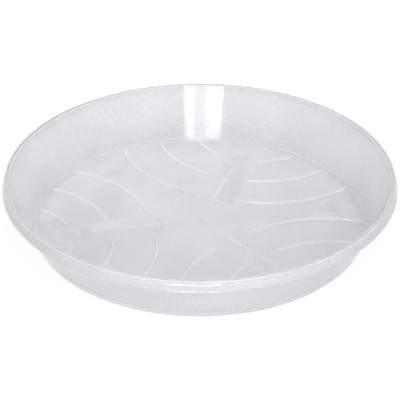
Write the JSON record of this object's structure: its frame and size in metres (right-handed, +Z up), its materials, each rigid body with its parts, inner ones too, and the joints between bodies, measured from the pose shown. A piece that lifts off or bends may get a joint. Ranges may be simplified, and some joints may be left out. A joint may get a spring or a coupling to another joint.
{
  "type": "plant saucer",
  "caption": "Round shallow plant saucer in milky plastic, with a flaring wall, a turned-down collar at the rim, leaf-like drainage ribs on the floor and a flat base ring.",
  "frame": {"origin": "centre of the base, on the surface that the saucer stands on", "axes": "+Z up out of the open top, -Y towards the viewer of the picture, +X to the viewer's right"},
  "size_m": [0.2518, 0.2518, 0.0382],
  "materials": {
    "milky_plastic": "milky translucent polypropylene, smooth and glossy, as moulded"
  },
  "bodies": {
    "root": {"saucer": "milky_plastic"}
  },
  "joints": []
}
